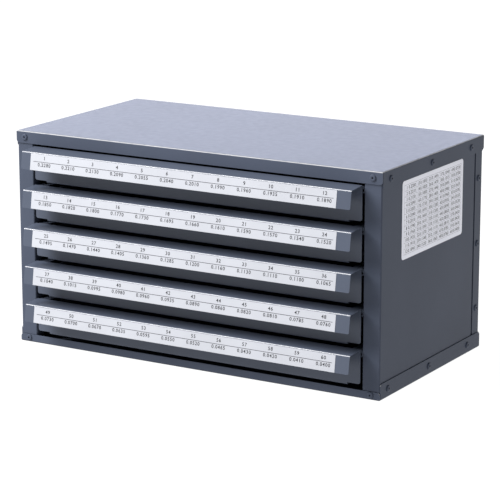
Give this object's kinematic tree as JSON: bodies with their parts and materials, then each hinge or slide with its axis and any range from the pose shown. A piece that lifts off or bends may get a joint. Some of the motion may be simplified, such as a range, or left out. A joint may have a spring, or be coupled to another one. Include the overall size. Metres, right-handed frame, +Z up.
{
  "type": "drill bit drawer case",
  "caption": "Free-standing folded steel cabinet with shallow sliding drawers, each divided across into bins for one size of drill bit and opened by its numbered front lip",
  "frame": {"origin": "centre of the cabinet's base, on the surface it stands on", "axes": "+X to the right seen from the front, +Y to the back, +Z up; the drawers open along -Y"},
  "size_m": [0.3782, 0.22, 0.199],
  "materials": {
    "cabinet": "satin dark slate powder coat with a fine orange-peel texture",
    "drawer_front": "satin dark slate powder coat with a fine orange-peel texture",
    "drawer_inside": "satin dark slate powder coat, a little rubbed where it slides",
    "runners": "satin dark slate powder coat, a little rubbed where it slides",
    "rivets": "painted over with the cabinet",
    "number_strip": "matt printed film",
    "side_label": "matt plain film"
  },
  "bodies": {
    "case": {"base_pan": "cabinet", "top_cover": "cabinet", "left_side_panel": "cabinet", "right_side_panel": "cabinet", "back_panel": "cabinet", "top_cover_rivets": "rivets", "base_pan_rivets": "rivets", "back_panel_rivets": "rivets", "side_label": "side_label", "runner_left_1": "runners", "runner_right_1": "runners", "runner_left_2": "runners", "runner_right_2": "runners", "runner_left_3": "runners", "runner_right_3": "runners", "runner_left_4": "runners", "runner_right_4": "runners", "runner_left_5": "runners", "runner_right_5": "runners"},
    "drawer_1": {"drawer_1_front": "drawer_front", "drawer_1_tray": "drawer_inside", "drawer_1_liner": "drawer_inside", "drawer_1_dividers": "drawer_inside", "drawer_1_number_strip": "number_strip"},
    "drawer_2": {"drawer_2_front": "drawer_front", "drawer_2_tray": "drawer_inside", "drawer_2_liner": "drawer_inside", "drawer_2_dividers": "drawer_inside", "drawer_2_number_strip": "number_strip"},
    "drawer_3": {"drawer_3_front": "drawer_front", "drawer_3_tray": "drawer_inside", "drawer_3_liner": "drawer_inside", "drawer_3_dividers": "drawer_inside", "drawer_3_number_strip": "number_strip"},
    "drawer_4": {"drawer_4_front": "drawer_front", "drawer_4_tray": "drawer_inside", "drawer_4_liner": "drawer_inside", "drawer_4_dividers": "drawer_inside", "drawer_4_number_strip": "number_strip"},
    "drawer_5": {"drawer_5_front": "drawer_front", "drawer_5_tray": "drawer_inside", "drawer_5_liner": "drawer_inside", "drawer_5_dividers": "drawer_inside", "drawer_5_number_strip": "number_strip"}
  },
  "joints": [
    {"name": "drawer_1_slide", "type": "slide", "parent": "case", "child": "drawer_1", "axis": [0, -1, 0], "range_m": [0, 0.125]},
    {"name": "drawer_2_slide", "type": "slide", "parent": "case", "child": "drawer_2", "axis": [0, -1, 0], "range_m": [0, 0.125]},
    {"name": "drawer_3_slide", "type": "slide", "parent": "case", "child": "drawer_3", "axis": [0, -1, 0], "range_m": [0, 0.125]},
    {"name": "drawer_4_slide", "type": "slide", "parent": "case", "child": "drawer_4", "axis": [0, -1, 0], "range_m": [0, 0.125]},
    {"name": "drawer_5_slide", "type": "slide", "parent": "case", "child": "drawer_5", "axis": [0, -1, 0], "range_m": [0, 0.125]}
  ]
}
